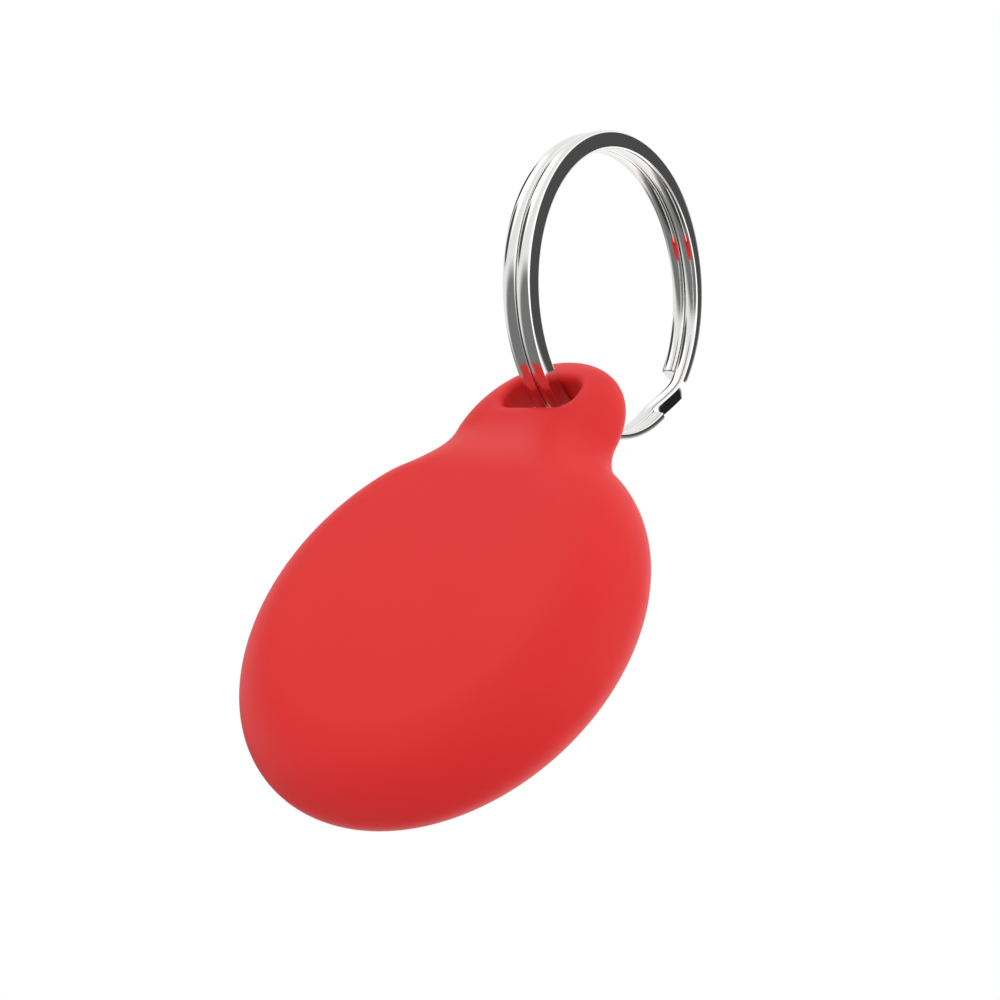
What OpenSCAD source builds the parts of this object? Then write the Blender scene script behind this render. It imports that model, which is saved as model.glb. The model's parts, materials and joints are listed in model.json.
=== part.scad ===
// Bluetooth tracker tag: a coin-cell tracker puck in a moulded silicone holder,
// hanging by its lug from a split ring.
// The origin is the centre of the split ring. +Z is up, the holder's front faces -Y,
// and the ring turns about X. The holder and the puck are drawn in the tag's own
// frame, x right, y towards the lug, z out of the front face, and placed with hang().

/* [Coin cell] */
// Diameter of the coin cell
cell_d = 20; // [16:0.1:24.5]
// Thickness of the coin cell
cell_t = 3.2; // [2.0:0.1:5.0]

/* [Puck, thickness of its layers] */
// Thickness of the front shell's wall
shell_wall = 0.8; // [0.6:0.05:1.6]
// Room between the circuit board and the front shell
head_room = 1.3; // [1.05:0.05:3]
// Thickness of the circuit board
board_t = 0.6; // [0.4:0.1:1.2]
// Thickness of the tape under the circuit board
tape_t = 0.2; // [0.1:0.05:0.4]
// Thickness of the battery frame's floor
floor_t = 0.6; // [0.4:0.1:1.2]
// Thickness of the contact springs' sheet
leaf_t = 0.15; // [0.1:0.05:0.3]
// Thickness of the foam pad in the battery door
pad_t = 0.35; // [0.2:0.05:0.8]
// Thickness of the battery door's steel
door_t = 0.5; // [0.3:0.05:0.8]

/* [Puck, radial walls] */
// Wall of the battery frame around the cell
cell_wall = 0.7; // [0.5:0.05:1.2]
// Wall of the bayonet ring in the battery door
bayonet_wall = 1.25; // [0.8:0.05:2]
// Reach of the bayonet lugs under their ledge
lug_reach = 0.8; // [0.5:0.05:1.5]
// Outer wall of the battery frame
frame_wall = 0.65; // [0.5:0.05:1.2]
// Side wall of the front shell
shell_side = 0.9; // [0.6:0.05:1.5]
// Rounding of the front shell's edge
shell_round = 2.4; // [1.7:0.1:2.9]

/* [Bayonet] */
// Angle that the battery door turns to come free
door_open = 24; // [20:1:40]
// Angle covered by each bayonet lug
lug_angle = 20; // [10:1:24]
// Number of bayonet lugs
lug_count = 3; // [2:1:4]

/* [Silicone holder] */
// Wall of the holder around the puck
side_wall = 3; // [2.5:0.1:5]
// Wall of the holder over the puck's front
front_wall = 0.8; // [0.6:0.05:2]
// Width of the lip that holds the puck in from behind
lip_w = 2.4; // [1.8:0.1:3]
// Depth of the battery door below the lip
door_recess = 0.2; // [0:0.05:0.6]
// Width of the soft edge around the holder's face
edge_w = 6.2; // [4:0.1:7.5]

/* [Key ring lug] */
// Distance from the holder's round edge to the centre of the lug's round end
lug_out = 0.7; // [0.5:0.1:4]
// Radius of the lug's round end
lug_r = 9; // [7.5:0.1:11]
// Thickness of the lug
lug_t = 4.9; // [3.5:0.1:6]
// Width of the soft edge around the lug
lug_edge = 6; // [4:0.1:7.2]
// Radius of the hollow between the holder's round edge and the lug
neck_r = 4.5; // [2:0.1:8]
// Width of the bar that carries the ring
bar_w = 3.5; // [2.9:0.1:4.2]
// Width of the ring slot
slot_w = 7.9; // [6.6:0.1:9.5]
// Height of the ring slot
slot_h = 3.5; // [2.9:0.1:4.2]
// Radius of the ring slot's corners
slot_corner = 1.4; // [0.8:0.1:1.4]
// Width of the bevel round the ring slot
slot_rim = 0.9; // [0.3:0.05:1.1]

/* [Split ring] */
// Outer diameter of the split ring
ring_od = 30.6; // [25:0.1:37]
// Radial width of the wire
wire_w = 1.9; // [1.5:0.1:2.3]
// Width of one coil along the ring's axis
wire_t = 1.45; // [1:0.05:1.8]
// Rounding of the wire's edges
wire_round = 0.3; // [0.2:0.05:0.5]
// Angle from the lowest point of the ring to the front coil's cut end
end_angle = 74; // [50:1:130]
// Angle over which the wire steps from the front coil to the rear coil
step_angle = 20; // [16:1:40]

/* [Speaker] */
// Diameter of the speaker's magnet
magnet_d = 7; // [5:0.1:8.4]
// Travel of the diaphragm each way
stroke = 0.15; // [0.05:0.05:0.15]

/* [Clearances] */
// Gap between the puck and the holder
puck_gap = 0.05; // [0.02:0.01:0.1]
// Gap beside the coin cell
cell_gap = 0.25; // [0.1:0.05:0.4]
// Gap between parts that turn or slide past each other
turn_gap = 0.1; // [0.05:0.05:0.2]
// Gap between the ring's wire and the bar
bar_gap = 0.25; // [0.2:0.05:0.5]
// Gap between the two coils of the ring
coil_gap = 0.08; // [0.05:0.01:0.2]
// Gap between parts that are assembled and stay put
seat_gap = 0.05; // [0.02:0.01:0.1]

/* [Hidden] */
$fn = 96;
eps = 0.02;

// Levels of the puck's layers, from the front face back, about the holder's mid-plane
pad_gap = 0.05;
case_t = front_wall + puck_gap + shell_wall + head_room + board_t + tape_t + floor_t
    + leaf_t + cell_t + pad_gap + pad_t + door_t + door_recess;
case_h = case_t / 2;
z_shell = case_h - front_wall - puck_gap;
z_shell_in = z_shell - shell_wall;
z_board = z_shell_in - head_room;
z_tape = z_board - board_t;
z_floor = z_tape - tape_t;
z_bay = z_floor - floor_t;
z_cell = z_bay - leaf_t;
z_cell_back = z_cell - cell_t;
z_pad = z_cell_back - pad_gap;
z_door_in = z_pad - pad_t;
z_door = z_door_in - door_t;
lip_t = 1.35;
z_rim = -case_h + lip_t + puck_gap;

// Radii of the puck's walls, from the coin cell outwards
cell_r = cell_d / 2;
bay_r = cell_r + cell_gap;
bay_wall_r = bay_r + cell_wall;
bayonet_clear = 0.35;
bayonet_ri = bay_wall_r + bayonet_clear;
bayonet_ro = bayonet_ri + bayonet_wall;
door_r = bayonet_ro + seat_gap;
mouth_r = door_r + turn_gap;
bayonet_lug_r = mouth_r + lug_reach;
lug_room = 0.9;
cavity_r = bayonet_lug_r + lug_room;
frame_r = cavity_r + frame_wall;
shell_ri = frame_r + seat_gap;
puck_r = shell_ri + shell_side;
shell_round_in = shell_round - shell_wall;

// Bayonet levels
ledge_t = 0.45;
bayonet_lug_t = 0.35;
z_ledge = z_rim + ledge_t;
z_lug = z_ledge + seat_gap;
z_lug_top = z_lug + bayonet_lug_t;
notch_clear = 2;
stop_angle = 1.5;
stop_up = 0.5;

// Holder
case_r = puck_r + side_wall;
pocket_r = puck_r + puck_gap;
window_r = puck_r - lip_w;
lug_y = case_r + lug_out;
lug_h = lug_t / 2;
slot_top = lug_y + lug_r - bar_w;
slot_y = slot_top - slot_h / 2;
slot_flare = 0.3;
thin_before = 6.5;
thin_after = 0.5;
thin_from = case_r - thin_before;
thin_to = lug_y + thin_after;

// Split ring, and how far the holder's centre hangs below the ring's centre
ring_ro = ring_od / 2;
ring_ri = ring_ro - wire_w;
hang_drop = slot_top - bar_gap + ring_ri;
coil_x = (wire_t + coil_gap) / 2;
step_clear = 2;

// Speaker levels, from the diaphragm back to the floor, and radii outwards
film_room = 0.3;
film_t = 0.1;
stroke_room = stroke + 0.05;
yoke_t = 0.4;
plate_t = 0.3;
z_film = z_shell_in - film_room - stroke - film_t;
z_plate = z_film - stroke_room - 0.05;
z_yoke = z_floor + yoke_t;
z_magnet = z_plate - plate_t;
z_coil = z_yoke + stroke_room;
magnet_r = magnet_d / 2;
plate_r = magnet_r + 0.35;
coil_ri = plate_r + 0.25;
coil_ro = coil_ri + 0.45;
yoke_ri = coil_ro + 0.35;
yoke_ro = yoke_ri + 0.4;
basket_ri = yoke_ro + seat_gap;
basket_step = 0.55;
basket_ro = basket_ri + basket_step + 0.7;
surround_room = 0.25;
film_r = yoke_ro - 0.1;

// Board and antenna carrier
board_ri = basket_ro + 0.3;
carrier_ri = cavity_r - 1.5;
carrier_ro = frame_r - 0.15;
board_ro = carrier_ri - 0.5;
chip_r = (board_ri + board_ro) / 2;
trace_t = 0.06;

function smooth(v) = let (s = min(max(v, 0), 1)) s * s * (3 - 2 * s);
function thinning(y) = smooth((y - thin_from) / (thin_to - thin_from));
function lerp(a, b, s) = a + (b - a) * s;

// The holder's outline: lug arc, neck arc and case arc, tangent to each other.
// Each point is [x, y, outward normal x, outward normal y].
neck_a = case_r + neck_r;
neck_b = lug_r + neck_r;
neck_y = (neck_a * neck_a - neck_b * neck_b + lug_y * lug_y) / (2 * lug_y);
neck_x = sqrt(neck_a * neck_a - neck_y * neck_y);
case_from = atan2(neck_x, neck_y);
lug_to = atan2(neck_x, neck_y - lug_y);
lug_steps = 12;
neck_steps = 6;
case_steps = 18;
half_outline = concat(
    [for (i = [0 : lug_steps - 1]) let (a = lug_to * i / lug_steps)
        [lug_r * sin(a), lug_y + lug_r * cos(a), sin(a), cos(a)]],
    [for (i = [0 : neck_steps - 1]) let (a = lerp(lug_to, case_from, i / neck_steps))
        [neck_x - neck_r * sin(a), neck_y - neck_r * cos(a), sin(a), cos(a)]],
    [for (i = [0 : case_steps]) let (a = lerp(case_from, 180, i / case_steps))
        [case_r * sin(a), case_r * cos(a), sin(a), cos(a)]]
);
half_count = len(half_outline);
outline = concat(
    half_outline,
    [for (i = [half_count - 2 : -1 : 1]) let (p = half_outline[i]) [-p[0], p[1], -p[2], p[3]]]
);
outline_count = len(outline);

// One loop of the holder's skin: a is the angle round its edge, -90 at the back, 90 at the front
edge_step = 15;
function skin_loop(a) = [
    for (p = outline)
        let (inset = lerp(edge_w, lug_edge, thinning(p[1])) * (1 - cos(a)),
             x = p[0] - p[2] * inset,
             y = p[1] - p[3] * inset)
            [x, y, lerp(case_h, lug_h, thinning(y)) * sin(a)]
];
skin_levels = [for (a = [-90 : edge_step : 90]) skin_loop(a)];
skin_points = [for (level = skin_levels) for (p = level) p];
skin_top = (len(skin_levels) - 1) * outline_count;
function cap_faces(base, up) = [
    for (i = [0 : half_count - 2])
        let (j = outline_count - i, left = base + (i == 0 ? 0 : j), left_next = base + j - 1)
            each [
                if (i > 0) up ? [base + i, left, base + i + 1] : [base + i, base + i + 1, left],
                if (i < half_count - 2 || i == 0)
                    up ? [base + i + 1, left, left_next] : [base + i + 1, left_next, left]
            ]
];
skin_faces = concat(
    [for (k = [0 : len(skin_levels) - 2]) for (i = [0 : outline_count - 1])
        let (n = (i + 1) % outline_count, low = k * outline_count, high = low + outline_count)
            each [[low + i, high + n, low + n], [low + i, high + i, high + n]]],
    cap_faces(0, false),
    cap_faces(skin_top, true)
);

// The ring's wire, swept from the front coil's cut end, down through the slot and
// round twice, with one step from the front coil to the rear coil
wire_turn = 6.5;
step_turn = 2;
step_end = 360 - step_clear;
step_start = step_end - step_angle;
end_clear = 4;
wire_end = step_start + 360 - end_clear;
function stations(from, to, pitch) =
    let (n = ceil((to - from) / pitch)) [for (i = [0 : n - 1]) lerp(from, to, i / n)];
wire_stations = concat(
    stations(0, step_start, wire_turn),
    stations(step_start, step_end, step_turn),
    stations(step_end, wire_end, wire_turn),
    [wire_end]
);
wire_section = [
    for (corner = [[1, 1, 0], [-1, 1, 90], [-1, -1, 180], [1, -1, 270]])
        for (k = [0 : 2])
            let (a = corner[2] + 45 * k)
                [corner[0] * (wire_w / 2 - wire_round) + wire_round * cos(a),
                 corner[1] * (wire_t / 2 - wire_round) + wire_round * sin(a)]
];
section_count = len(wire_section);
function coil_place(turn) =
    coil_x * (1 - 2 * smooth((turn - step_start) / (step_end - step_start)));
wire_points = [
    for (turn = wire_stations) for (p = wire_section)
        let (a = end_angle - turn, r = ring_ro - wire_w / 2 + p[0])
            [coil_place(turn) + p[1], r * sin(a), -r * cos(a)]
];
wire_last = (len(wire_stations) - 1) * section_count;
wire_faces = concat(
    [for (k = [0 : len(wire_stations) - 2]) for (i = [0 : section_count - 1])
        let (n = (i + 1) % section_count, a = k * section_count, b = a + section_count)
            each [[a + i, a + n, b + n], [a + i, b + n, b + i]]],
    [[for (i = [section_count - 1 : -1 : 0]) i]],
    [[for (i = [0 : section_count - 1]) wire_last + i]]
);

// Places what is drawn in the tag's frame
module hang() {
    translate([0, 0, -hang_drop]) rotate([90, 0, 0]) children();
}

// A flat ring from level z0 to level z1
module band(ri, ro, z0, z1) {
    rotate_extrude() translate([ri, z0]) square([ro - ri, z1 - z0]);
}

// A disc from level z0 to level z1
module disc(r, z0, z1) {
    translate([0, 0, z0]) cylinder(r = r, h = z1 - z0);
}

// Half the section of a round body, its front edge rounded
module half_section(r, z0, z1, round_r) {
    difference() {
        translate([0, z0]) square([r, z1 - z0]);
        difference() {
            translate([r - round_r, z1 - round_r]) square(round_r + eps);
            translate([r - round_r, z1 - round_r]) circle(r = round_r);
        }
    }
}

// A piece of a flat ring, a wide and centred on angle at
module arc_block(ri, ro, z0, z1, at, a) {
    rotate([0, 0, at - a / 2]) rotate_extrude(angle = a)
        translate([ri, z0]) square([ro - ri, z1 - z0]);
}

// A chip standing on the board at radius r and angle at
module chip(at, r, size) {
    rotate([0, 0, at]) translate([r, 0, z_board + size[2] / 2]) cube(size, center = true);
}

// ---- holder and ring ----

// The ring slot's outline, larger all round by grow
module slot_outline(grow) {
    square([slot_w + 2 * grow, slot_h - 2 * slot_corner], center = true);
    square([slot_w - 2 * slot_corner, slot_h + 2 * grow], center = true);
    for (x = [-1, 1])
        for (y = [-1, 1])
            translate([x * (slot_w / 2 - slot_corner), y * (slot_h / 2 - slot_corner)])
                circle(r = slot_corner + grow);
}

// What the ring slot takes away: a straight passage, bevelled at both faces of the lug
module ring_slot() {
    translate([0, slot_y, -case_h]) linear_extrude(height = 2 * case_h) slot_outline(0);
    for (side = [0, 180])
        translate([0, slot_y, 0]) rotate([0, side, 0]) hull() {
            translate([0, 0, lug_h - slot_rim - slot_flare])
                linear_extrude(height = eps) slot_outline(-slot_flare, $fn = 32);
            translate([0, 0, lug_h + slot_flare])
                linear_extrude(height = eps) slot_outline(slot_rim + slot_flare, $fn = 32);
        }
}

module silicone_holder() {
    color("crimson") hang() difference() {
        polyhedron(points = skin_points, faces = skin_faces, convexity = 4);
        rotate_extrude()
            half_section(pocket_r, z_rim - puck_gap, z_shell + puck_gap, shell_round);
        disc(window_r, -case_h - 1, z_rim);
        ring_slot();
    }
}

module split_ring() {
    color("silver") polyhedron(points = wire_points, faces = wire_faces, convexity = 8);
}

// ---- puck housing ----

module front_shell() {
    color("white") hang() rotate_extrude() difference() {
        half_section(puck_r, z_rim, z_shell, shell_round);
        translate([0, -eps]) half_section(shell_ri, z_rim - eps, z_shell_in, shell_round_in);
    }
}

module battery_frame() {
    color("gainsboro") hang() difference() {
        union() {
            disc(frame_r, z_bay, z_floor);
            band(bay_r, bay_wall_r, z_cell_back + 0.3, z_bay);
            band(cavity_r, frame_r, z_rim, z_bay);
            band(mouth_r, frame_r, z_rim, z_ledge);
            for (i = [0 : lug_count - 1])
                arc_block(mouth_r, frame_r, z_rim, z_lug_top + stop_up,
                    i * 360 / lug_count + lug_angle / 2 + notch_clear, stop_angle);
        }
        // notches that let the bayonet lugs in
        for (i = [0 : lug_count - 1])
            arc_block(mouth_r - 1, bayonet_lug_r + 2 * turn_gap, z_rim - 1, z_ledge + eps,
                i * 360 / lug_count - door_open, lug_angle + 2 * notch_clear);
        contact_slots();
    }
}

// Slots in the floor and the cell's wall for the contact springs
module contact_slots() {
    for (at = positive_angles)
        rotate([0, 0, at]) translate([cell_r + 0.05, -contact_w / 2 - 0.1, z_cell_back])
            cube([cell_wall + cell_gap, contact_w + 0.2, z_floor - z_cell_back + 1]);
    for (at = negative_angles)
        rotate([0, 0, at]) translate([tab_r - 0.1, -tab_w / 2 - 0.1, z_bay - 1])
            cube([leaf_t + 0.2, tab_w + 0.2, floor_t + 2]);
}

// ---- electronics ----

module main_board() {
    color("seagreen") hang() difference() {
        band(board_ri, board_ro, z_tape, z_board);
        for (at = [45 : 90 : 315])
            rotate([0, 0, at]) translate([board_ro, 0, z_tape - 1]) cylinder(r = 0.6, h = board_t + 2);
    }
}

module board_tape() {
    color("black") hang() band(tab_r + 0.5, cell_r - 0.3, z_floor, z_tape);
}

module bluetooth_chip() {
    color("dimgray") hang() chip(90, chip_r, [3.2, 3.4, 0.55]);
}

shield_size = [4, 5, 0.9];
shield_skin = 0.15;
module ranging_shield() {
    color("silver") hang() difference() {
        chip(0, chip_r, shield_size);
        translate([chip_r, 0, z_board + shield_size[2] / 2 - shield_skin])
            cube([shield_size[0] - 2 * shield_skin, shield_size[1] - 2 * shield_skin,
                shield_size[2]], center = true);
    }
}

module flash_memory() {
    color("dimgray") hang() chip(135, chip_r, [2.0, 3.0, 0.6]);
}

module motion_sensor() {
    color("dimgray") hang() chip(60, chip_r, [2.0, 2.0, 0.75]);
}

module audio_amplifier() {
    color("dimgray") hang() chip(235, chip_r, [1.6, 1.6, 0.5]);
}

module crystals() {
    color("silver") hang() for (at = [112, 330]) chip(at, chip_r, [1.2, 2.0, 0.5]);
}

module bulk_capacitors() {
    color("tan") hang() for (at = [165, 180, 195, 210]) chip(at, chip_r, [3.2, 1.6, 0.9]);
}

module small_passives() {
    color("burlywood") hang() for (row = [board_ri + 0.7, board_ro - 1.1])
        for (at = [252 : 9 : 315]) chip(at, row, [1.0, 0.5, 0.35]);
}

carrier_room = 0.4;
carrier_side = 0.75;
z_carrier = z_shell_in - carrier_room;
carrier_ti = carrier_ri + 0.2;
carrier_to = carrier_ro - 0.8;
trace_w = 0.5;
trace_end = carrier_to - 0.1;
loop_w = 0.15;
loop_pitch = 0.3;
module antenna_carrier() {
    color("whitesmoke") hang() rotate_extrude() polygon([
        [carrier_ri, z_floor], [carrier_ro, z_floor], [carrier_ro, z_floor + carrier_side],
        [carrier_to, z_carrier], [carrier_ri, z_carrier]
    ]);
}

module bluetooth_antenna() {
    color("goldenrod") hang() union() {
        arc_block(carrier_ti, carrier_ti + trace_w, z_carrier, z_carrier + trace_t, 60, 80);
        arc_block(carrier_ti + trace_w / 2, trace_end, z_carrier, z_carrier + trace_t, 98, 3);
    }
}

module ranging_antenna() {
    color("goldenrod") hang() union() {
        arc_block(carrier_ti, carrier_ti + trace_w, z_carrier, z_carrier + trace_t, 0, 24);
        arc_block(carrier_ti + trace_w / 2, trace_end, z_carrier, z_carrier + trace_t, 0, 4);
    }
}

module nfc_loop() {
    color("peru") hang() for (k = [0 : 2])
        arc_block(carrier_ti + loop_pitch * k, carrier_ti + loop_pitch * k + loop_w,
            z_carrier, z_carrier + trace_t, 228, 200);
}

// ---- speaker ----

module speaker_basket() {
    color("black") hang() union() {
        band(basket_ri, basket_ro, z_floor, z_film - surround_room);
        band(basket_ri + basket_step, basket_ro, z_floor, z_film);
    }
}

module speaker_yoke() {
    color("darkgray") hang() union() {
        disc(yoke_ro, z_floor, z_yoke);
        band(yoke_ri, yoke_ro, z_floor, z_plate);
    }
}

module speaker_magnet() {
    color("slategray") hang() disc(magnet_r, z_yoke, z_magnet);
}

module pole_plate() {
    color("darkgray") hang() disc(plate_r, z_magnet, z_plate);
}

module speaker_surround() {
    color("dimgray") hang()
        band(film_r + seat_gap, basket_ro, z_film, z_film + film_t);
}

module speaker_diaphragm() {
    color("gray") hang() disc(film_r, z_film, z_film + film_t);
}

module voice_coil() {
    color("chocolate") hang() band(coil_ri, coil_ro, z_coil, z_film);
}

// ---- coin cell and its contacts ----

positive_angles = [150, 270, 30];
negative_angles = [90, 210, 330];
contact_w = 2.4;
tab_r = board_ri + 0.25;
tab_w = 1.6;

module negative_contact() {
    color("gold") hang() union() {
        disc(2.5, z_cell, z_bay);
        for (at = negative_angles) rotate([0, 0, at]) {
            translate([0, -tab_w / 2, z_cell]) cube([tab_r + leaf_t, tab_w, leaf_t]);
            translate([tab_r, -tab_w / 2, z_cell]) cube([leaf_t, tab_w, z_tape - z_cell]);
        }
    }
}

module positive_contacts() {
    color("gold") hang() for (at = positive_angles)
        rotate([0, 0, at]) translate([cell_r + 0.07, -contact_w / 2, z_cell_back + 0.8])
            cube([leaf_t, contact_w, z_tape - z_cell_back - 0.8]);
}

can_t = 0.25;
cap_r = cell_r - 1.1;
z_crimp = z_cell - 0.25;
module cell_can() {
    color("lightgray") hang() difference() {
        disc(cell_r, z_cell_back, z_crimp);
        disc(cell_r - can_t, z_cell_back + can_t, z_crimp + 1);
    }
}

module cell_core() {
    color("black") hang() disc(cell_r - can_t - seat_gap, z_cell_back + can_t, z_crimp - 0.5);
}

module cell_gasket() {
    color("saddlebrown") hang() band(cap_r + 0.02, cell_r - can_t - 0.02, z_crimp - 0.5, z_crimp);
}

module cell_cap() {
    color("lightgray") hang() disc(cap_r, z_crimp - 0.5, z_cell);
}

// ---- battery door ----

door_rim = 0.35;
door_edge = 0.3;
module battery_door() {
    color("silver") hang() rotate([180, 0, 0]) rotate_extrude() difference() {
        half_section(door_r, -z_door_in - door_rim, -z_door, door_edge);
        translate([0, -z_door_in - door_rim - eps]) square([bayonet_ro, door_rim + eps]);
    }
}

module door_bayonet() {
    color("lightgray") hang() union() {
        band(bayonet_ri, bayonet_ro, z_door_in, z_lug_top);
        for (i = [0 : lug_count - 1])
            arc_block(bayonet_ri, bayonet_lug_r, z_lug, z_lug_top, i * 360 / lug_count, lug_angle);
    }
}

module door_pad() {
    color("gray") hang() disc(cell_r - 1, z_door_in, z_pad);
}

silicone_holder();
split_ring();
front_shell();
battery_frame();
main_board();
board_tape();
bluetooth_chip();
ranging_shield();
flash_memory();
motion_sensor();
audio_amplifier();
crystals();
bulk_capacitors();
small_passives();
antenna_carrier();
bluetooth_antenna();
ranging_antenna();
nfc_loop();
speaker_basket();
speaker_yoke();
speaker_magnet();
pole_plate();
speaker_surround();
speaker_diaphragm();
voice_coil();
negative_contact();
positive_contacts();
cell_can();
cell_core();
cell_gasket();
cell_cap();
battery_door();
door_bayonet();
door_pad();
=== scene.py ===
import json
import math

import bpy
import numpy as np
from mathutils import Matrix, Vector


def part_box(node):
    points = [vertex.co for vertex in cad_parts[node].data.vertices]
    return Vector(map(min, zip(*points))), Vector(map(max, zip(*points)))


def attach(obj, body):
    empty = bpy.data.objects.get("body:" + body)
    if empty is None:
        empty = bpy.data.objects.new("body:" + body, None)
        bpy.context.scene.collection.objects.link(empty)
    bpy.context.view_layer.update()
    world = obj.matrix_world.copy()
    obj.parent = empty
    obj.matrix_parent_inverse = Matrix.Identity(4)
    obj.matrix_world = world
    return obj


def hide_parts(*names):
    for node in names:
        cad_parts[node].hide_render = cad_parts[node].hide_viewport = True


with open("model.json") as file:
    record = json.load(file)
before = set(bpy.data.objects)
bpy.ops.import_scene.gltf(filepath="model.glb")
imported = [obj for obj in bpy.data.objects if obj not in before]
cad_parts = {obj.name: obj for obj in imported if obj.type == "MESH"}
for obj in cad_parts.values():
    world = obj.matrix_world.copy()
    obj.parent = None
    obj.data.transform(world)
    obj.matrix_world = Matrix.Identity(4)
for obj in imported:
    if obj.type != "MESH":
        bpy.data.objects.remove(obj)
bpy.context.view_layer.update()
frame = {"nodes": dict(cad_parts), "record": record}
mm = 0.001

mounts = {m["name"]: Vector(m["pos_m"]) for m in frame["record"]["mounts"]}
ringCentre = mounts["key_ring"]
tagZ = mounts["front_face"].z                 # height of the puck's axis


def tagPoint(x, y, z):
    # tag frame in mm (x right, y towards the lug, z out of the front) to the row frame in metres
    return Vector((x * mm, -z * mm, tagZ + y * mm))


def nodeDepths(node):
    # how far a node reaches back and front in the tag frame, in mm
    low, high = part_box(node)
    return -high.y / mm, -low.y / mm


def nodeRadius(node):
    low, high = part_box(node)
    return (high.x - low.x) / 2 / mm


def addMesh(name, verts, faces, smooth=True):
    mesh = bpy.data.meshes.new(name)
    mesh.from_pydata([tuple(v) for v in verts], [], faces)
    mesh.validate()
    mesh.update()
    obj = bpy.data.objects.new(name, mesh)
    bpy.context.scene.collection.objects.link(obj)
    if smooth:
        mesh.shade_smooth()
    return obj


def sharpenEdges(obj, degrees):
    obj.data.set_sharp_from_angle(angle=math.radians(degrees))


def setMaterial(obj, material):
    obj.data.materials.clear()
    obj.data.materials.append(material)


def latheOpen(name, profile, segments):
    # turns a profile of (radius, depth) in mm about the puck's axis, both its ends on that axis
    verts = [tagPoint(0, 0, profile[0][1])]
    inner = profile[1:-1]
    rows = len(inner)
    for s in range(segments):
        turn = 2 * math.pi * s / segments
        for radius, depth in inner:
            verts.append(tagPoint(radius * math.cos(turn), radius * math.sin(turn), depth))
    verts.append(tagPoint(0, 0, profile[-1][1]))
    last = len(verts) - 1
    faces = []
    for s in range(segments):
        here, there = 1 + s * rows, 1 + (s + 1) % segments * rows
        faces.append((0, there, here))
        for k in range(rows - 1):
            faces.append((here + k, there + k, there + k + 1, here + k + 1))
        faces.append((last, here + rows - 1, there + rows - 1))
    return addMesh(name, verts, faces)


def arcPoints(cx, cy, radius, start, end, steps):
    # points of an arc, in degrees, both ends included
    found = []
    for i in range(steps + 1):
        a = math.radians(start + (end - start) * i / steps)
        found.append((cx + radius * math.cos(a), cy + radius * math.sin(a)))
    return found


holderLow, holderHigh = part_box("silicone_holder")
puckBack, puckFront = nodeDepths("front_shell")
holder = {
    "caseRadius": (tagZ - holderLow.z) / mm,
    "caseHalf": (holderHigh.y - holderLow.y) / 2 / mm,
    "lugTop": (holderHigh.z - tagZ) / mm,
    "lugRadius": 9.0,
    "lugHalf": 2.45,
    "neckRadius": 4.5,
    "caseEdge": 6.2,          # width of the soft edge round the face
    "lugEdge": 6.0,
    "thinBefore": 6.5,        # the thinning starts this far inside the round edge
    "thinAfter": 0.5,         # and ends this far past the lug's centre
    "slotTop": 25.2,          # the side of the slot next to the bar
    "slotWidth": 7.9,
    "slotHeight": 3.5,
    "slotCorner": 1.4,
    "rimBlend": 1.0,          # how softly the slot meets the skin
    "lipBlend": 0.35,
    "puckRadius": nodeRadius("front_shell"),
    "puckBack": puckBack,
    "puckFront": puckFront,
    "pocketGap": 0.05,        # room all round the puck
    "pocketRound": 2.4,
    "lipReach": 2.4,          # how far the lip at the back reaches over the puck
    "weld": 0.001,
    "voxel": 0.26,
    "steps": 5,               # moves that draw the mesh onto the surface
    "closingSteps": 2,        # of these, the last ones leave the spacing alone
    "longestMove": 0.15,
    "evening": 0.5,           # share of the way to the neighbours' middle
    "probe": 0.01,            # distance over which the surface's slope is measured
    "flattest": 0.2,          # least slope that a move is reckoned with
}


def smoothStep(v):
    s = np.clip(v, 0, 1)
    return s * s * (3 - 2 * s)


def smoothMax(a, b, k):
    h = np.clip(0.5 + 0.5 * (a - b) / k, 0, 1)
    return b * (1 - h) + a * h + k * h * (1 - h)


def neckGeometry(p):
    # the neck's arc touches the lug's arc and the case's arc
    lugY = p["lugTop"] - p["lugRadius"]
    a = p["caseRadius"] + p["neckRadius"]
    b = p["lugRadius"] + p["neckRadius"]
    y = (a * a - b * b + lugY * lugY) / (2 * lugY)
    x = math.sqrt(a * a - y * y)
    return lugY, x, y, math.atan2(x, y), math.atan2(x, y - lugY)


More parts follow.
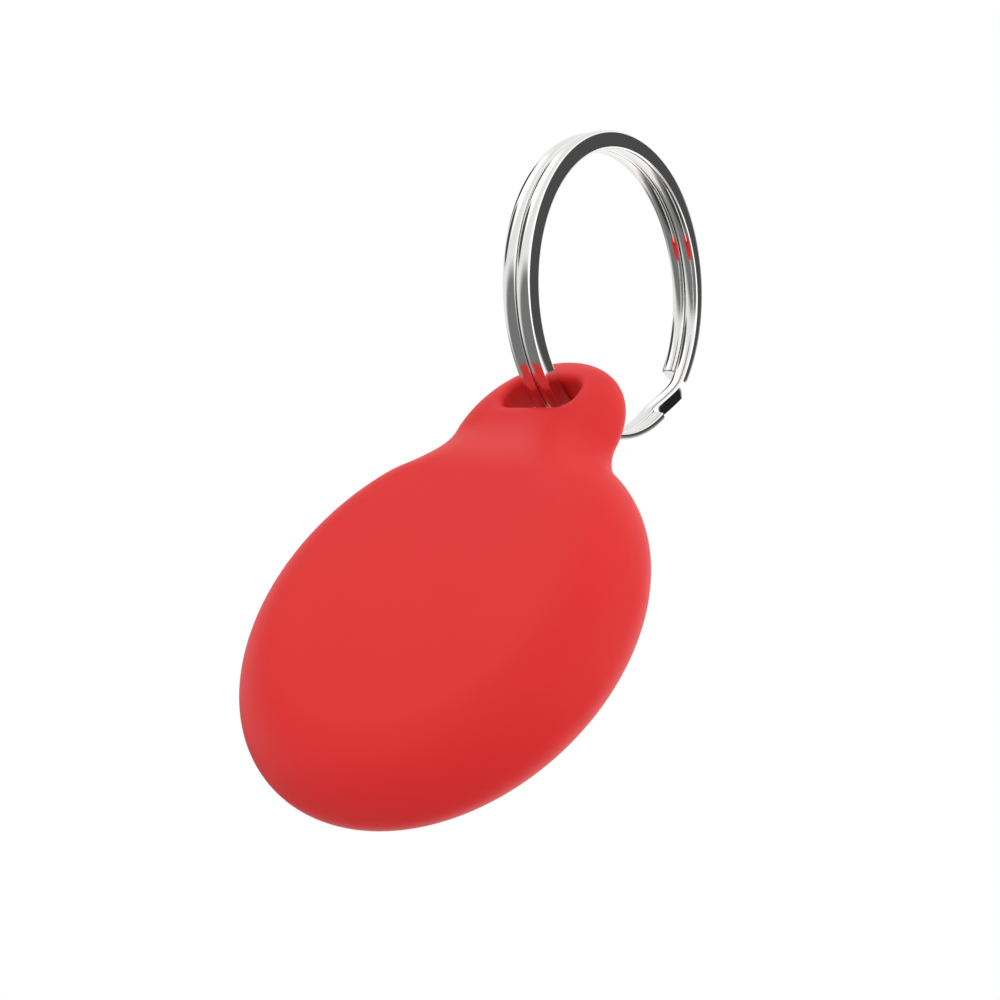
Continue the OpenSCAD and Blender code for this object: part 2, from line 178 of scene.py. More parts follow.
def holderSkin(p):
    # returns a function of points in the tag frame that is negative inside the outer skin
    farOff, tiny, leastSlope = 1e3, 1e-6, 0.05
    lugY, neckX, neckY, caseFrom, lugTo = neckGeometry(p)
    thinFrom = p["caseRadius"] - p["thinBefore"]
    thinTo = lugY + p["thinAfter"]

    def thinning(y):
        return smoothStep((y - thinFrom) / (thinTo - thinFrom))

    def height(y):
        return p["caseHalf"] + (p["lugHalf"] - p["caseHalf"]) * thinning(y)

    def edge(y):
        return p["caseEdge"] + (p["lugEdge"] - p["caseEdge"]) * thinning(y)

    def skin(x, y, z):
        x = np.abs(x)
        lugTurn = np.arctan2(x, y - lugY)
        lugD = np.where(lugTurn <= lugTo, p["lugRadius"] - np.hypot(x, y - lugY), farOff)
        lugOut = lugY + p["lugRadius"] * np.cos(lugTurn)
        caseTurn = np.arctan2(x, y)
        caseD = np.where(caseTurn >= caseFrom, p["caseRadius"] - np.hypot(x, y), farOff)
        caseOut = p["caseRadius"] * np.cos(caseTurn)
        neckTurn = np.arctan2(neckX - x, neckY - y)
        inNeck = (neckTurn >= caseFrom) & (neckTurn <= lugTo) & (x < neckX)
        neckD = np.where(inNeck, np.hypot(neckX - x, neckY - y) - p["neckRadius"], farOff)
        neckOut = neckY - p["neckRadius"] * np.cos(neckTurn)
        d = np.minimum(np.minimum(lugD, caseD), neckD)
        out = np.where(neckD <= d, neckOut, np.where(caseD <= d, caseOut, lugOut))
        width = edge(out)
        tall = height(y)
        u = np.maximum(1 - d / width, 0)
        level = u * u + (z / tall) ** 2 - 1
        slope = np.sqrt((2 * u / width) ** 2 + (2 * z / tall ** 2) ** 2) + tiny
        return level / np.maximum(slope, leastSlope)

    return skin


def holderField(p):
    # negative in the silicone, positive outside it, in the slot and in the puck's pocket
    skin = holderSkin(p)
    corner = p["slotCorner"]
    halfWide, halfHigh = p["slotWidth"] / 2, p["slotHeight"] / 2
    pocketRadius, windowRadius = p["puckRadius"] + p["pocketGap"], p["puckRadius"] - p["lipReach"]
    pocketBack, pocketFront = p["puckBack"] - p["pocketGap"], p["puckFront"] + p["pocketGap"]

    def slot(x, y):
        qx = np.abs(x) - halfWide + corner
        qy = np.abs(y - p["slotTop"] + halfHigh) - halfHigh + corner
        outside = np.hypot(np.maximum(qx, 0), np.maximum(qy, 0))
        return corner - outside - np.minimum(np.maximum(qx, qy), 0)

    def pocket(x, y, z):
        r = np.hypot(x, y)
        inner = np.minimum(np.minimum(pocketRadius - r, pocketFront - z), z - pocketBack)
        cr, cz = pocketRadius - p["pocketRound"], pocketFront - p["pocketRound"]
        rounded = p["pocketRound"] - np.hypot(r - cr, z - cz)
        inner = np.where((r > cr) & (z > cz), np.minimum(rounded, z - pocketBack), inner)
        window = np.minimum(windowRadius - r, -z)
        return np.maximum(inner, window)

    def field(points):
        x, y, z = points.T
        value = smoothMax(skin(x, y, z), slot(x, y), p["rimBlend"])
        return smoothMax(value, pocket(x, y, z), p["lipBlend"])

    return field


def fieldGradient(field, points, step):
    found = np.zeros_like(points)
    for axis in range(3):
        shift = np.zeros(3)
        shift[axis] = step
        found[:, axis] = (field(points + shift) - field(points - shift)) / (2 * step)
    return found


def buildHolder(p):
    # the CAD solid's own shape, remeshed evenly and drawn onto the exact moulded surface
    source = frame["nodes"]["silicone_holder"].data
    co = np.zeros(len(source.vertices) * 3)
    source.vertices.foreach_get("co", co)
    co = co.reshape(-1, 3)
    tag = np.stack([co[:, 0] / mm, (co[:, 2] - tagZ) / mm, -co[:, 1] / mm], axis=1)
    faces = [tuple(f.vertices) for f in source.polygons]
    obj = addMesh("holderMoulding", tag, faces)
    weld = obj.modifiers.new("weld", "WELD")
    weld.merge_threshold = p["weld"]
    remesh = obj.modifiers.new("even", "REMESH")
    remesh.mode = "VOXEL"
    remesh.voxel_size = p["voxel"]
    remesh.use_smooth_shade = True
    bpy.context.view_layer.update()
    graph = bpy.context.evaluated_depsgraph_get()
    done = bpy.data.meshes.new_from_object(obj.evaluated_get(graph))
    obj.modifiers.clear()
    obj.data = done
    points = np.zeros(len(done.vertices) * 3)
    done.vertices.foreach_get("co", points)
    points = points.reshape(-1, 3)
    edges = np.array([e.vertices[:] for e in done.edges])
    field = holderField(p)
    for step in range(p["steps"]):
        slope = fieldGradient(field, points, p["probe"])
        size2 = np.maximum((slope ** 2).sum(1), p["flattest"] ** 2)
        move = (field(points) / size2)[:, None] * slope
        length = np.linalg.norm(move, axis=1, keepdims=True)
        points = points - move * np.minimum(1, p["longestMove"] / np.maximum(length, 1e-9))
        if step < p["steps"] - p["closingSteps"]:      # even the spacing along the surface
            total = np.zeros_like(points)
            count = np.zeros(len(points))
            for a, b in ((0, 1), (1, 0)):
                np.add.at(total, edges[:, a], points[edges[:, b]])
                np.add.at(count, edges[:, a], 1)
            normal = slope / np.linalg.norm(slope, axis=1, keepdims=True)
            drift = total / count[:, None] - points
            drift -= (drift * normal).sum(1)[:, None] * normal
            points = points + p["evening"] * drift
    normal = fieldGradient(field, points, p["probe"])
    normal /= np.linalg.norm(normal, axis=1, keepdims=True)
    rest = np.abs(field(points))
    print("holder:", len(points), "points, off by", round(float(rest.max()), 4), "mm at most,",
          round(float(np.percentile(rest, 99)), 4), "mm for 99 %")
    placed = np.stack([points[:, 0] * mm, -points[:, 2] * mm, tagZ + points[:, 1] * mm], axis=1)
    turned = np.stack([normal[:, 0], -normal[:, 2], normal[:, 1]], axis=1)
    done.vertices.foreach_set("co", placed.ravel())
    done.update()
    done.shade_smooth()
    done.normals_split_custom_set_from_vertices([tuple(v) for v in turned])
    return obj


holderPiece = buildHolder(holder)
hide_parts("silicone_holder")
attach(holderPiece, "holder")


ringLow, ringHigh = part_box("split_ring")
ring = {
    "outer": (ringHigh.z - ringLow.z) / 2 / mm,
    "wireWidth": 1.9,
    "wireThick": 1.45,
    "round": 0.2,
    "roundSteps": 5,
    "crownTilt": 24.0,          # slope of the crowned faces where they meet the corners
    "crownSteps": 5,
    "coilGap": 0.08,
    "endAngle": 74.0,           # the first coil's cut end, from the lowest point towards the back
    "stepFrom": 338.0,          # turn at which the wire leaves the first coil
    "stepTo": 358.0,
    "endTurn": 694.0,
    "turnStep": 1.6,
    "probeTurn": 0.2,           # the wire's direction is taken over this much either way
    "burr": 0.08,               # small chamfer at the cut ends
    "kink": 0.3,                # share of the step taken by each of its bends
    "kinkStations": 12,
    "sharpAngle": 32,
}


def stepShare(v, kink):
    # 0 to 1 along the step: a bend, a straight run and a bend
    v = min(max(v, 0), 1)
    speed = 1 / (1 - kink)
    if v < kink:
        return speed * v * v / (2 * kink)
    if v > 1 - kink:
        return 1 - speed * (1 - v) ** 2 / (2 * kink)
    return speed * (v - kink / 2)


def wireSection(p, inset):
    # the flattened wire: flat sides, tight corners, outer and inner faces slightly crowned
    r, tilt = p["round"], math.radians(p["crownTilt"])
    reach = p["wireThick"] / 2 - r
    edge = reach + r * math.sin(tilt)
    crown = edge * math.tan(tilt) / 2
    middle = p["wireWidth"] / 2 - crown - r * math.cos(tilt)
    quarter = []
    for k in range(p["crownSteps"]):
        v = k / p["crownSteps"]
        quarter.append((p["wireWidth"] / 2 - crown * v * v - inset, v * (edge - inset)))
    for k in range(p["roundSteps"] + 1):
        a = tilt + (math.pi / 2 - tilt) * k / p["roundSteps"]
        quarter.append((middle + (r - inset) * math.cos(a), reach + (r - inset) * math.sin(a)))
    half = quarter + [(-u, v) for u, v in reversed(quarter)]
    return half + [(u, -v) for u, v in reversed(half)][1:-1]


def buildRing(p):
    middle = p["outer"] - p["wireWidth"] / 2
    coilX = (p["wireThick"] + p["coilGap"]) / 2
    stepTurn = p["stepTo"] - p["stepFrom"]

    def centre(turn):
        a = math.radians(p["endAngle"] - turn)
        share = stepShare((turn - p["stepFrom"]) / stepTurn, p["kink"])
        return Vector((coilX * (1 - 2 * share), middle * math.sin(a), -middle * math.cos(a)))

    burrTurn = math.degrees(p["burr"] / middle)
    plainTurn = p["endTurn"] - 2 * burrTurn
    turns = [0.0, burrTurn]
    count = round(plainTurn / p["turnStep"])
    turns += [burrTurn + plainTurn * i / count for i in range(1, count + 1)]
    turns.append(p["endTurn"])
    stations = p["kinkStations"]                 # more of them where the wire steps across
    turns += [p["stepFrom"] + stepTurn * i / stations for i in range(1, stations)]
    turns = sorted(set(turns))
    verts, faces = [], []
    for turn in turns:
        here = centre(turn)
        along = (centre(turn + p["probeTurn"]) - centre(turn - p["probeTurn"])).normalized()
        a = math.radians(p["endAngle"] - turn)
        outward = Vector((0, math.sin(a), -math.cos(a)))
        side = outward.cross(along).normalized()
        if side.x < 0:
            side.negate()
        atEnd = turn in (0.0, p["endTurn"])
        for u, v in wireSection(p, p["burr"] if atEnd else 0.0):
            verts.append((here + outward * u + side * v) * mm + ringCentre)
    n = len(wireSection(p, 0))
    for k in range(len(turns) - 1):
        for i in range(n):
            j = (i + 1) % n
            faces.append((k * n + i, k * n + j, (k + 1) * n + j, (k + 1) * n + i))
    faces.append(tuple(range(n - 1, -1, -1)))
    last = (len(turns) - 1) * n
    faces.append(tuple(last + i for i in range(n)))
    obj = addMesh("ringWire", verts, faces)
    sharpenEdges(obj, p["sharpAngle"])
    return obj


ringPiece = buildRing(ring)
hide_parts("split_ring")
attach(ringPiece, "ring")
print("ring built")


# the steel battery door: a turned cup with a dished face, one shallow groove and a rounded edge

doorLow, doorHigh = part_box("battery_door")
door = {
    "radius": (doorHigh.x - doorLow.x) / 2 / mm,
    "back": -doorHigh.y / mm,             # depth of its outer face
    "front": -doorLow.y / mm,             # depth of its rim's inner edge
    "plate": 0.5,
    "rimWidth": 0.05,
    "rimBreak": (0.02, 0.03),             # chamfer of the rim's inner edge, across and deep
    "edge": 0.28,
    "edgeSteps": 8,
    "dish": 0.05,                         # how far the middle is below the shoulder
    "dishSteps": 12,
    "grooveRadius": 10.9,
    "grooveHalf": 0.22,
    "grooveDepth": 0.07,
    "grooveSteps": 12,
    "flatFrom": 0.15,                     # the flat shoulder starts this far out from the groove
    "flatTo": 0.05,                       # and ends this far in from the rounded edge
    "segments": 192,
    "sharpAngle": 40,
}


def buildDoor(p):
    radius, back, front = p["radius"], p["back"], p["front"]
    profile = [(0.0, back + p["dish"])]
    inner = p["grooveRadius"] - p["grooveHalf"]
    outer = p["grooveRadius"] + p["grooveHalf"]
    for i in range(1, p["dishSteps"]):
        share = i / p["dishSteps"]
        profile.append((inner * share, back + p["dish"] * (1 - share * share)))
    for i in range(p["grooveSteps"] + 1):
        a = math.pi * i / p["grooveSteps"]
        depth = back + p["grooveDepth"] * math.sin(a)
        profile.append((p["grooveRadius"] - p["grooveHalf"] * math.cos(a), depth))
    shoulder = radius - p["edge"]
    profile += [(outer + p["flatFrom"], back), (shoulder - p["flatTo"], back)]
    profile += arcPoints(shoulder, back + p["edge"], p["edge"], -90, 0, p["edgeSteps"])
    across, deep = p["rimBreak"]
    profile.append((radius, front - deep))
    profile.append((radius - across, front))
    profile.append((radius - p["rimWidth"], front))
    profile.append((radius - p["rimWidth"], back + p["plate"]))
    profile.append((0.0, back + p["plate"]))
    obj = latheOpen("doorPlate", profile, p["segments"])
    sharpenEdges(obj, p["sharpAngle"])
    return obj


doorPiece = buildDoor(door)
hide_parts("battery_door")
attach(doorPiece, "door")

# small raised pips: one on the door near its edge, and two on the frame's rim,
# where the door's pip stands when it is shut and where it comes free

pip = {
    "radius": 0.27,
    "height": 0.13,
    "steps": 5,
    "segments": 24,
    "sunk": 0.03,
    "doorTurn": 60.0,
    "openTurn": 24.0,
    "doorInset": 0.85,        # in from the door's edge
    "rimShift": 0.05,         # out from the middle of the rim that shows round the door
}


def buildPip(name, p, radius, turn, depth):
    # a low dome on a short sunk foot
    a = math.radians(turn)
    cx, cy = radius * math.cos(a), radius * math.sin(a)
    rows = []
    for k in range(1, p["steps"] + 1):
        b = math.pi / 2 * k / p["steps"]
        rows.append((p["radius"] * math.sin(b), depth - p["height"] * math.cos(b)))
    rows.append((p["radius"], depth + p["sunk"]))
    n = p["segments"]
    verts, faces = [tagPoint(cx, cy, depth - p["height"])], []
    for reach, level in rows:
        for i in range(n):
            c = 2 * math.pi * i / n
            verts.append(tagPoint(cx + reach * math.cos(c), cy + reach * math.sin(c), level))
    for i in range(n):
        j = (i + 1) % n
        faces.append((0, 1 + j, 1 + i))
        for k in range(p["steps"]):
            low, high = 1 + k * n, 1 + (k + 1) * n
            faces.append((low + i, low + j, high + j, high + i))
    faces.append(tuple(1 + p["steps"] * n + i for i in range(n)))
    return addMesh(name, verts, faces)


frameBack = nodeDepths("battery_frame")[0]
windowRadius = holder["puckRadius"] - holder["lipReach"]
pipRadius = door["radius"] - pip["doorInset"]
rimRadius = (door["radius"] + windowRadius) / 2 + pip["rimShift"]
shutTurn, freeTurn = pip["doorTurn"], pip["doorTurn"] - pip["openTurn"]
pipPieces = [
    (buildPip("doorPip", pip, pipRadius, shutTurn, door["back"]), "door"),
    (buildPip("shutPip", pip, rimRadius, shutTurn, frameBack), "puck"),
    (buildPip("freePip", pip, rimRadius, freeTurn, frameBack), "puck"),
]
for obj, body in pipPieces:
    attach(obj, body)
print("door and pips built")


# shader node groups, all in metres on the object's own coordinates

def newGroup(name, ins, outs):
    group = bpy.data.node_groups.new(name, "ShaderNodeTree")
    for label, kind, value in ins:
        socket = group.interface.new_socket(label, in_out="INPUT", socket_type=kind)
        if value is not None:
            socket.default_value = value
    for label, kind in outs:
        group.interface.new_socket(label, in_out="OUTPUT", socket_type=kind)
    nodes = group.nodes
    gin, gout = nodes.new("NodeGroupInput"), nodes.new("NodeGroupOutput")
    return group, nodes, group.links.new, gin, gout


def mathNode(nodes, operation, clamp=False):
    node = nodes.new("ShaderNodeMath")
    node.operation = operation
    node.use_clamp = clamp
    return node


def noiseNode(nodes, link, scale, detail, roughness=0.55):
    # noise of a linked scale on the object's own coordinates
    place = nodes.new("ShaderNodeTexCoord")
    node = nodes.new("ShaderNodeTexNoise")
    node.inputs["Detail"].default_value = detail
    node.inputs["Roughness"].default_value = roughness
    link(place.outputs["Object"], node.inputs["Vector"])
    link(scale, node.inputs["Scale"])
    return node.outputs["Fac"]


def centredNoise(nodes, link, scale, detail, roughness=0.55):
    # the same noise moved to lie about zero
    centred = mathNode(nodes, "SUBTRACT")
    centred.inputs[1].default_value = 0.5
    link(noiseNode(nodes, link, scale, detail, roughness), centred.inputs[0])
    return centred.outputs[0]


def bumpNode(nodes, link, gin, level):
    # the group's normal, from a level and its own height and strength
    bump = nodes.new("ShaderNodeBump")
    link(gin.outputs["Height"], bump.inputs["Distance"])
    link(gin.outputs["Strength"], bump.inputs["Strength"])
    link(level, bump.inputs["Height"])
    return bump.outputs["Normal"]


def makeGrain():
    # two sizes of noise as a surface normal: a fine grain over a slow unevenness
    group, nodes, link, gin, gout = newGroup(
        "fineGrain",
        [("Grain Scale", "NodeSocketFloat", 9000.0), ("Wave Scale", "NodeSocketFloat", 260.0),
         ("Wave Share", "NodeSocketFloat", 0.4), ("Height", "NodeSocketFloat", 0.000004),
         ("Strength", "NodeSocketFloat", 0.3)],
        [("Normal", "NodeSocketVector")])
    mix = nodes.new("ShaderNodeMix")
    link(gin.outputs["Wave Share"], mix.inputs["Factor"])
    link(noiseNode(nodes, link, gin.outputs["Grain Scale"], detail=2.0), mix.inputs["A"])
    link(noiseNode(nodes, link, gin.outputs["Wave Scale"], detail=1.0), mix.inputs["B"])
    link(bumpNode(nodes, link, gin, mix.outputs["Result"]), gout.inputs["Normal"])
    return group


def makeMottle():
    # a colour that drifts slightly lighter and darker
    group, nodes, link, gin, gout = newGroup(
        "mottle",
        [("Color", "NodeSocketColor", (0.5, 0.5, 0.5, 1)), ("Scale", "NodeSocketFloat", 300.0),
         ("Amount", "NodeSocketFloat", 0.05)],
        [("Color", "NodeSocketColor")])
    scaled = mathNode(nodes, "MULTIPLY_ADD")
    scaled.inputs[2].default_value = 1.0
    link(centredNoise(nodes, link, gin.outputs["Scale"], detail=3.0), scaled.inputs[0])
    link(gin.outputs["Amount"], scaled.inputs[1])
    shade = nodes.new("ShaderNodeHueSaturation")
    link(gin.outputs["Color"], shade.inputs["Color"])
    link(scaled.outputs[0], shade.inputs["Value"])
    link(shade.outputs["Color"], gout.inputs["Color"])
    return group


def makeSmudge():
    # a roughness with handling marks, as broad soft patches
    group, nodes, link, gin, gout = newGroup(
        "smudge",
        [("Roughness", "NodeSocketFloat", 0.3), ("Scale", "NodeSocketFloat", 120.0),
         ("Spread", "NodeSocketFloat", 0.1)],
        [("Roughness", "NodeSocketFloat")])
    total = mathNode(nodes, "MULTIPLY_ADD", clamp=True)
    patches = centredNoise(nodes, link, gin.outputs["Scale"], detail=4.0, roughness=0.6)
    link(patches, total.inputs[0])
    link(gin.outputs["Spread"], total.inputs[1])
    link(gin.outputs["Roughness"], total.inputs[2])
    link(total.outputs[0], gout.inputs["Roughness"])
    return group


def makeBrushing():
    # fine lines: circles about the puck's axis, or straight level lines
    group, nodes, link, gin, gout = newGroup(
        "brushMarks",
        [("Axis Height", "NodeSocketFloat", 0.0), ("Turned", "NodeSocketFloat", 1.0),
         ("Line Scale", "NodeSocketFloat", 9000.0), ("Height", "NodeSocketFloat", 0.000002),
         ("Strength", "NodeSocketFloat", 0.3)],
        [("Normal", "NodeSocketVector")])
    place = nodes.new("ShaderNodeTexCoord")
    split = nodes.new("ShaderNodeSeparateXYZ")
    link(place.outputs["Object"], split.inputs["Vector"])
    up = mathNode(nodes, "SUBTRACT")
    link(split.outputs["Z"], up.inputs[0])
    link(gin.outputs["Axis Height"], up.inputs[1])
    flat = nodes.new("ShaderNodeCombineXYZ")
    link(split.outputs["X"], flat.inputs["X"])
    link(up.outputs[0], flat.inputs["Y"])
    radius = nodes.new("ShaderNodeVectorMath")
    radius.operation = "LENGTH"
    link(flat.outputs["Vector"], radius.inputs[0])
    choose = nodes.new("ShaderNodeMix")
    link(gin.outputs["Turned"], choose.inputs["Factor"])
    link(up.outputs[0], choose.inputs["A"])
    link(radius.outputs["Value"], choose.inputs["B"])
    lines = nodes.new("ShaderNodeTexNoise")
    lines.noise_dimensions = "1D"
    lines.inputs["Detail"].default_value = 5.0
    lines.inputs["Roughness"].default_value = 0.65
    link(choose.outputs["Result"], lines.inputs["W"])
    link(gin.outputs["Line Scale"], lines.inputs["Scale"])
    link(bumpNode(nodes, link, gin, lines.outputs["Fac"]), gout.inputs["Normal"])
    return group


grainGroup = makeGrain()
mottleGroup = makeMottle()
smudgeGroup = makeSmudge()
brushGroup = makeBrushing()


def placeGroup(nodes, group, values):
    node = nodes.new("ShaderNodeGroup")
    node.node_tree = group
    for label, value in values.items():
        node.inputs[label].default_value = value
    return node


def startMaterial(name, p):
    # what every finish has: a drifting colour and a handled sheen
    material = bpy.data.materials.new(name)
    material.use_nodes = True
    nodes, link = material.node_tree.nodes, material.node_tree.links.new
    shader = nodes["Principled BSDF"]
    tone = placeGroup(nodes, mottleGroup, {
        "Color": (*p["colour"], 1), "Scale": p["driftScale"], "Amount": p["drift"]})
    gloss = placeGroup(nodes, smudgeGroup, {
        "Roughness": p["roughness"], "Scale": p["smudgeScale"], "Spread": p["smudge"]})
    link(tone.outputs["Color"], shader.inputs["Base Color"])
    link(gloss.outputs["Roughness"], shader.inputs["Roughness"])
    for label, value in p.get("shader", {}).items():
        shader.inputs[label].default_value = value
    return material, nodes, link, shader


def mouldedMaterial(name, p):
    # plastics, rubbers, laminate and ceramic, with a fine grain
    material, nodes, link, shader = startMaterial(name, p)
    grain = placeGroup(nodes, grainGroup, {
        "Grain Scale": p["grainScale"], "Wave Scale": p["waveScale"],
        "Wave Share": p["waveShare"], "Height": p["grainHeight"]})
    link(grain.outputs["Normal"], shader.inputs["Normal"])
    return material


def metalMaterial(name, p):
    # bare and plated metals, polished or brushed in circles or straight lines
    material, nodes, link, shader = startMaterial(name, p)
    lines = placeGroup(nodes, brushGroup, {
        "Axis Height": tagZ, "Turned": p["turned"],
        "Line Scale": p["lineScale"], "Height": p["lineHeight"]})
    link(lines.outputs["Normal"], shader.inputs["Normal"])
    shader.inputs["Metallic"].default_value = 1.0
    return material


# scales are repeats per metre, heights are in metres; what a finish leaves out is as in these two

plainMoulding = {
    "driftScale": 250.0, "drift": 0.04, "smudgeScale": 160.0, "smudge": 0.1,
    "grainScale": 9000.0, "waveScale": 300.0, "waveShare": 0.3, "grainHeight": 0.000004,
}
plainMetal = {
    "driftScale": 300.0, "drift": 0.05, "smudgeScale": 200.0, "smudge": 0.08,
    "turned": 1.0, "lineScale": 12000.0, "lineHeight": 0.0000015,
}

mouldings = {
    "silicone": {
        "colour": (0.71, 0.0155, 0.0165), "roughness": 0.5, "drift": 0.03, "driftScale": 90.0,
        "smudge": 0.07, "grainHeight": 0.000003, "grainScale": 14000.0,
        "shader": {"IOR": 1.41, "Specular IOR Level": 0.38, "Subsurface Weight": 0.1,
                   "Subsurface Radius": (0.0012, 0.0002, 0.0002), "Subsurface Scale": 1.0},
    },
    "shell_white": {"colour": (0.86, 0.86, 0.85), "roughness": 0.16, "grainHeight": 0.000001},
    "frame_plastic": {
        "colour": (0.74, 0.74, 0.725), "roughness": 0.44, "grainHeight": 0.000009},
    "board_green": {
        "colour": (0.02, 0.17, 0.07), "roughness": 0.32, "drift": 0.25, "driftScale": 1400.0},
    "tape_black": {"colour": (0.02, 0.02, 0.021), "roughness": 0.7, "grainHeight": 0.00002},
    "chip_black": {"colour": (0.03, 0.03, 0.033), "roughness": 0.5, "grainHeight": 0.000008},
    "capacitor_tan": {"colour": (0.42, 0.27, 0.14), "roughness": 0.38, "drift": 0.15},
    "basket_black": {"colour": (0.025, 0.025, 0.026), "roughness": 0.42},
    "film_grey": {"colour": (0.20, 0.20, 0.21), "roughness": 0.3, "grainHeight": 0.000002},
    "gasket_brown": {"colour": (0.26, 0.15, 0.08), "roughness": 0.5},
    "foam_grey": {
        "colour": (0.17, 0.17, 0.18), "roughness": 0.85, "drift": 0.3, "driftScale": 5000.0,
        "grainScale": 5000.0, "grainHeight": 0.00006},
}
metals = {
    "ring_steel": {
        "colour": (0.76, 0.755, 0.75), "roughness": 0.045, "smudge": 0.03, "drift": 0.02,
        "turned": 0.0, "lineScale": 2500.0, "lineHeight": 0.0000006},
    "door_steel": {
        "colour": (0.64, 0.64, 0.645), "roughness": 0.24, "smudge": 0.06,
        "lineScale": 9000.0, "lineHeight": 0.000003, "shader": {"Anisotropic": 0.4}},
    "shield_metal": {"colour": (0.68, 0.67, 0.64), "roughness": 0.32, "turned": 0.0},
    "copper": {"colour": (0.78, 0.38, 0.20), "roughness": 0.3, "drift": 0.12},
    "yoke_steel": {"colour": (0.50, 0.50, 0.51), "roughness": 0.35},
    "magnet_nickel": {"colour": (0.62, 0.61, 0.59), "roughness": 0.15},
    "contact_gold": {"colour": (0.83, 0.60, 0.24), "roughness": 0.22, "turned": 0.0},
    "cell_steel": {"colour": (0.64, 0.64, 0.63), "roughness": 0.26, "lineHeight": 0.000003},
}

finishes = {}
for slot, p in mouldings.items():
    finishes[slot] = mouldedMaterial(slot + "Finish", {**plainMoulding, **p})
for slot, p in metals.items():
    finishes[slot] = metalMaterial(slot + "Finish", {**plainMetal, **p})

slotOf = {part["node"]: part["material_slot"] for part in frame["record"]["subparts"]}
for node, obj in frame["nodes"].items():
    if not obj.hide_render:
        setMaterial(obj, finishes[slotOf[node]])
setMaterial(holderPiece, finishes["silicone"])
setMaterial(ringPiece, finishes["ring_steel"])
setMaterial(doorPiece, finishes["door_steel"])
for obj, body in pipPieces:
    setMaterial(obj, finishes["door_steel" if body == "door" else "frame_plastic"])
print("materials:", len(finishes))


# camera, floor and light

camera = {
    "lookAt": (0.0, 0.0, -0.0258),
    "distance": 0.1139,
    "azimuth": 45.36,
    "elevation": -28.07,
    "roll": 28.49,
    "lens": 46.8,
    "sensor": 36.0,
    "clip": (0.005, 20),
}


def buildCamera(p):
    data = bpy.data.cameras.new("camera")
    obj = bpy.data.objects.new("camera", data)
    bpy.context.scene.collection.objects.link(obj)
    data.lens = p["lens"]
    data.sensor_width = p["sensor"]
    data.clip_start, data.clip_end = p["clip"]
    az, el = math.radians(p["azimuth"]), math.radians(p["elevation"])
    back = Vector((math.sin(az) * math.cos(el), -math.cos(az) * math.cos(el), math.sin(el)))
    place = Vector(p["lookAt"]) + back * p["distance"]
    roll = Matrix.Rotation(math.radians(p["roll"]), 3, "Z")
    turn = back.to_track_quat("Z", "Y").to_matrix() @ roll
    obj.matrix_world = Matrix.Translation(place) @ turn.to_4x4()
    bpy.context.scene.camera = obj


buildCamera(camera)
print("camera placed")

studio = {
    "floorZ": -0.11,
    "floorSize": 6.0,
    "floor": {"colour": (0.68, 0.68, 0.68), "roughness": 0.7, "driftScale": 8.0, "drift": 0.02,
              "grainHeight": 0.00001},
    "strength": 1.0,
    "brightSide": (0.85, 0.35, -0.2),     # the room is lighter on this side
    "brightFrom": -0.5,                   # cosine at which the lighter side starts
    "brightGain": 0.55,
    "low": (-0.30, -0.60),                # the room below turns grey between these heights
    "lowTone": 0.22,
    # soft cards in the room: direction, cosine at the outer and the inner edge, tone
    "cards": (
        ((-0.68, -0.60, 0.42), 0.82, 0.96, 1.55),
        ((0.60, 0.44, 0.67), 0.974, 0.984, 0.085),
        ((-0.82, -0.17, 0.54), 0.968, 0.985, 0.04),
        ((-0.84, -0.52, 0.14), 0.955, 0.98, 0.08),
        ((-0.90, 0.40, -0.20), 0.93, 0.98, 0.28),
        ((-0.07, 0.42, -0.91), 0.88, 0.96, 0.05),
        ((0.77, 0.63, 0.0), 0.965, 0.985, 0.02),
    ),
    "keyFrom": (-0.63, -0.62, 0.47),
    "keyDistance": 0.5,
    "keySize": 0.35,
    "keyPower": 0.3,
}


def rampNode(nodes, link, value, start, end, low=0.0, high=1.0):
    # a soft step from one level to another as the value goes from start to end
    node = nodes.new("ShaderNodeMapRange")
    node.interpolation_type = "SMOOTHSTEP"
    node.inputs["From Min"].default_value = start
    node.inputs["From Max"].default_value = end
    node.inputs["To Min"].default_value = low
    node.inputs["To Max"].default_value = high
    link(value, node.inputs["Value"])
    return node.outputs["Result"]


def towardsNode(nodes, link, ray, direction):
    # cosine of the angle between a ray and a direction
    node = nodes.new("ShaderNodeVectorMath")
    node.operation = "DOT_PRODUCT"
    link(ray, node.inputs[0])
    node.inputs[1].default_value = Vector(direction).normalized()
    return node.outputs["Value"]


def cardNode(nodes, link, level, mask, tone):
    # lays one tone over the room's level where the mask is
    node = nodes.new("ShaderNodeMix")
    node.inputs["B"].default_value = tone
    link(mask, node.inputs["Factor"])
    link(level, node.inputs["A"])
    return node.outputs["Result"]


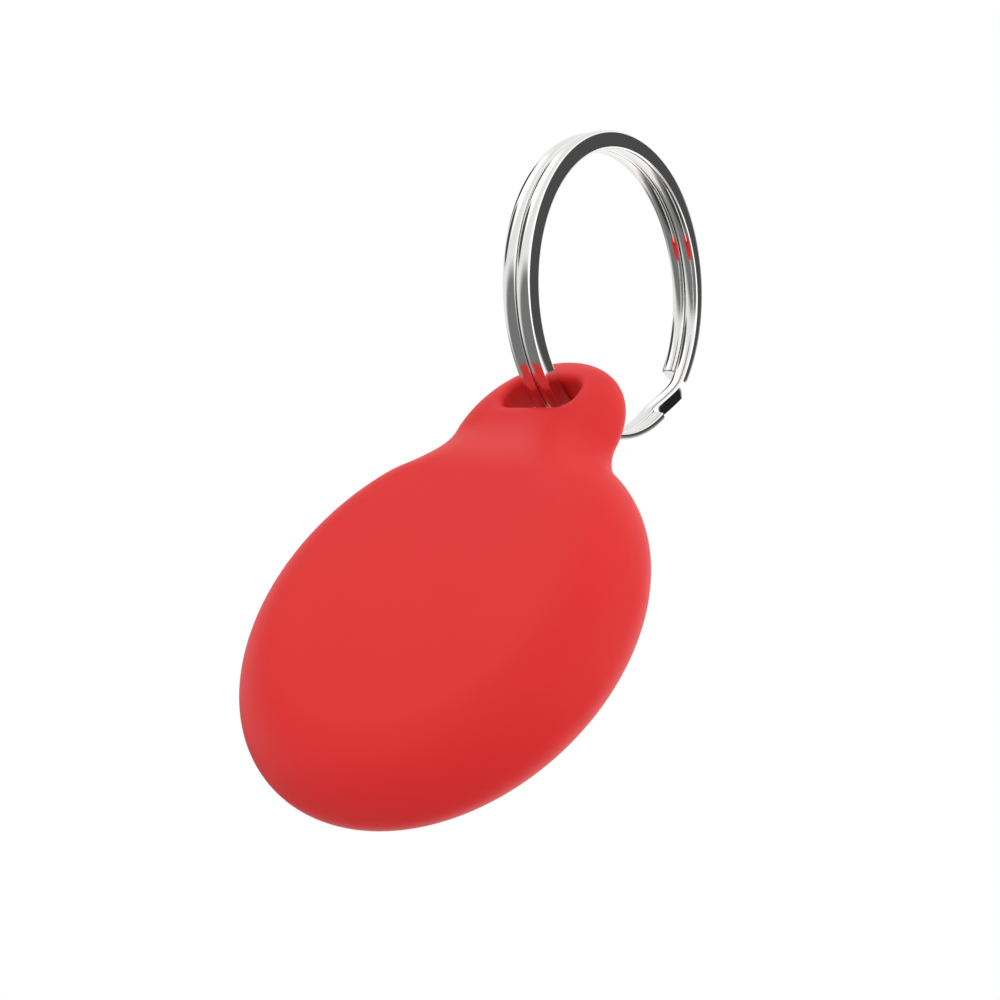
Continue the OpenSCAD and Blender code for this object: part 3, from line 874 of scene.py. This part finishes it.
def buildFloor(p):
    s, z = p["floorSize"] / 2, p["floorZ"]
    corners = [(-s, -s, z), (s, -s, z), (s, s, z), (-s, s, z)]
    floor = addMesh("floor", corners, [(0, 1, 2, 3)], smooth=False)
    setMaterial(floor, mouldedMaterial("paleFloor", {**plainMoulding, **p["floor"]}))
    floor.visible_glossy = False                  # the metal reflects only the room


def buildRoom(p):
    # the room that lights and is reflected; the camera itself sees plain white
    world = bpy.data.worlds.new("studio")
    bpy.context.scene.world = world
    world.use_nodes = True
    nodes, link = world.node_tree.nodes, world.node_tree.links.new
    ray = nodes.new("ShaderNodeTexCoord").outputs["Generated"]
    side = towardsNode(nodes, link, ray, p["brightSide"])
    level = rampNode(nodes, link, side, p["brightFrom"], 1.0, 1.0, 1.0 + p["brightGain"])
    split = nodes.new("ShaderNodeSeparateXYZ")
    link(ray, split.inputs["Vector"])
    below = rampNode(nodes, link, split.outputs["Z"], *p["low"])
    level = cardNode(nodes, link, level, below, p["lowTone"])
    for direction, outer, inner, tone in p["cards"]:
        near = towardsNode(nodes, link, ray, direction)
        level = cardNode(nodes, link, level, rampNode(nodes, link, near, outer, inner), tone)
    room = nodes["Background"]
    room.inputs["Strength"].default_value = p["strength"]
    link(level, room.inputs["Color"])
    backdrop = nodes.new("ShaderNodeBackground")
    backdrop.inputs["Color"].default_value = (1, 1, 1, 1)
    path = nodes.new("ShaderNodeLightPath")
    choose = nodes.new("ShaderNodeMixShader")
    link(path.outputs["Is Camera Ray"], choose.inputs["Fac"])
    link(room.outputs["Background"], choose.inputs[1])
    link(backdrop.outputs["Background"], choose.inputs[2])
    link(choose.outputs["Shader"], nodes["World Output"].inputs["Surface"])


def buildKey(p):
    lamp = bpy.data.lights.new("key", "AREA")
    lamp.shape = "DISK"
    lamp.size = p["keySize"]
    lamp.energy = p["keyPower"]
    key = bpy.data.objects.new("key", lamp)
    bpy.context.scene.collection.objects.link(key)
    key.visible_glossy = False
    towards = Vector(p["keyFrom"]).normalized()
    place = towards * p["keyDistance"] + Vector((0, 0, tagZ))
    turn = towards.to_track_quat("Z", "Y").to_matrix()
    key.matrix_world = Matrix.Translation(place) @ turn.to_4x4()


buildFloor(studio)
buildRoom(studio)
buildKey(studio)
bpy.context.scene.view_settings.view_transform = "Standard"
print("studio built")
